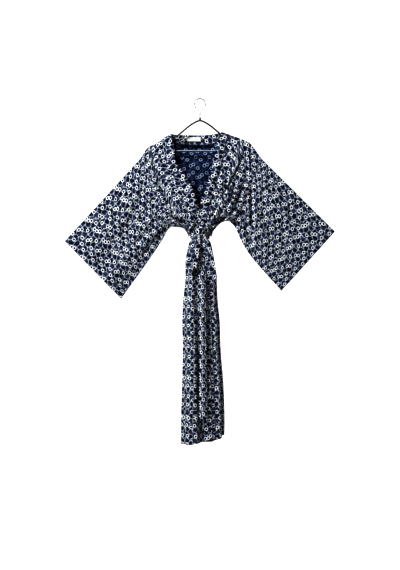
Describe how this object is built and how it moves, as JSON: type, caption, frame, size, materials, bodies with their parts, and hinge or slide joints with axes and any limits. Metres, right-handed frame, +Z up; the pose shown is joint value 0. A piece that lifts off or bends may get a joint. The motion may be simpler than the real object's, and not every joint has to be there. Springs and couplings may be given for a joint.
{
  "type": "belted cotton kimono robe on a clothes hanger",
  "caption": "Light cotton kimono robe with wide open sleeves and a tied belt, hanging drawn in at the waist on a slim hanger with a metal hook.",
  "frame": {"origin": "inner top of the hanger's hook, where a rod carries it", "axes": "+Z up, the robe's front faces -Y, +X is to the right as seen from the front"},
  "size_m": [1.1544, 0.1284, 1.4787],
  "materials": {
    "printed_cotton": "matte plain weave cotton, navy with small white rings and grey netting",
    "label_tape": "smooth white woven tape, bare",
    "hanger_plastic": "black, low sheen",
    "hook_steel": "bright bent wire"
  },
  "bodies": {
    "root": {"back": "printed_cotton", "front_left": "printed_cotton", "front_right": "printed_cotton", "back_skirt": "printed_cotton", "front_left_skirt": "printed_cotton", "front_right_skirt": "printed_cotton", "sleeve_left": "printed_cotton", "sleeve_right": "printed_cotton", "neckband_back": "printed_cotton", "neckband_left": "printed_cotton", "neckband_right": "printed_cotton", "neckband_left_skirt": "printed_cotton", "neckband_right_skirt": "printed_cotton", "belt_wrap": "printed_cotton", "belt_knot": "printed_cotton", "belt_loop_left": "printed_cotton", "belt_loop_right": "printed_cotton", "belt_tail_long": "printed_cotton", "belt_tail_short": "printed_cotton", "label": "label_tape", "hanger_body": "hanger_plastic", "hanger_hook": "hook_steel"}
  },
  "joints": []
}
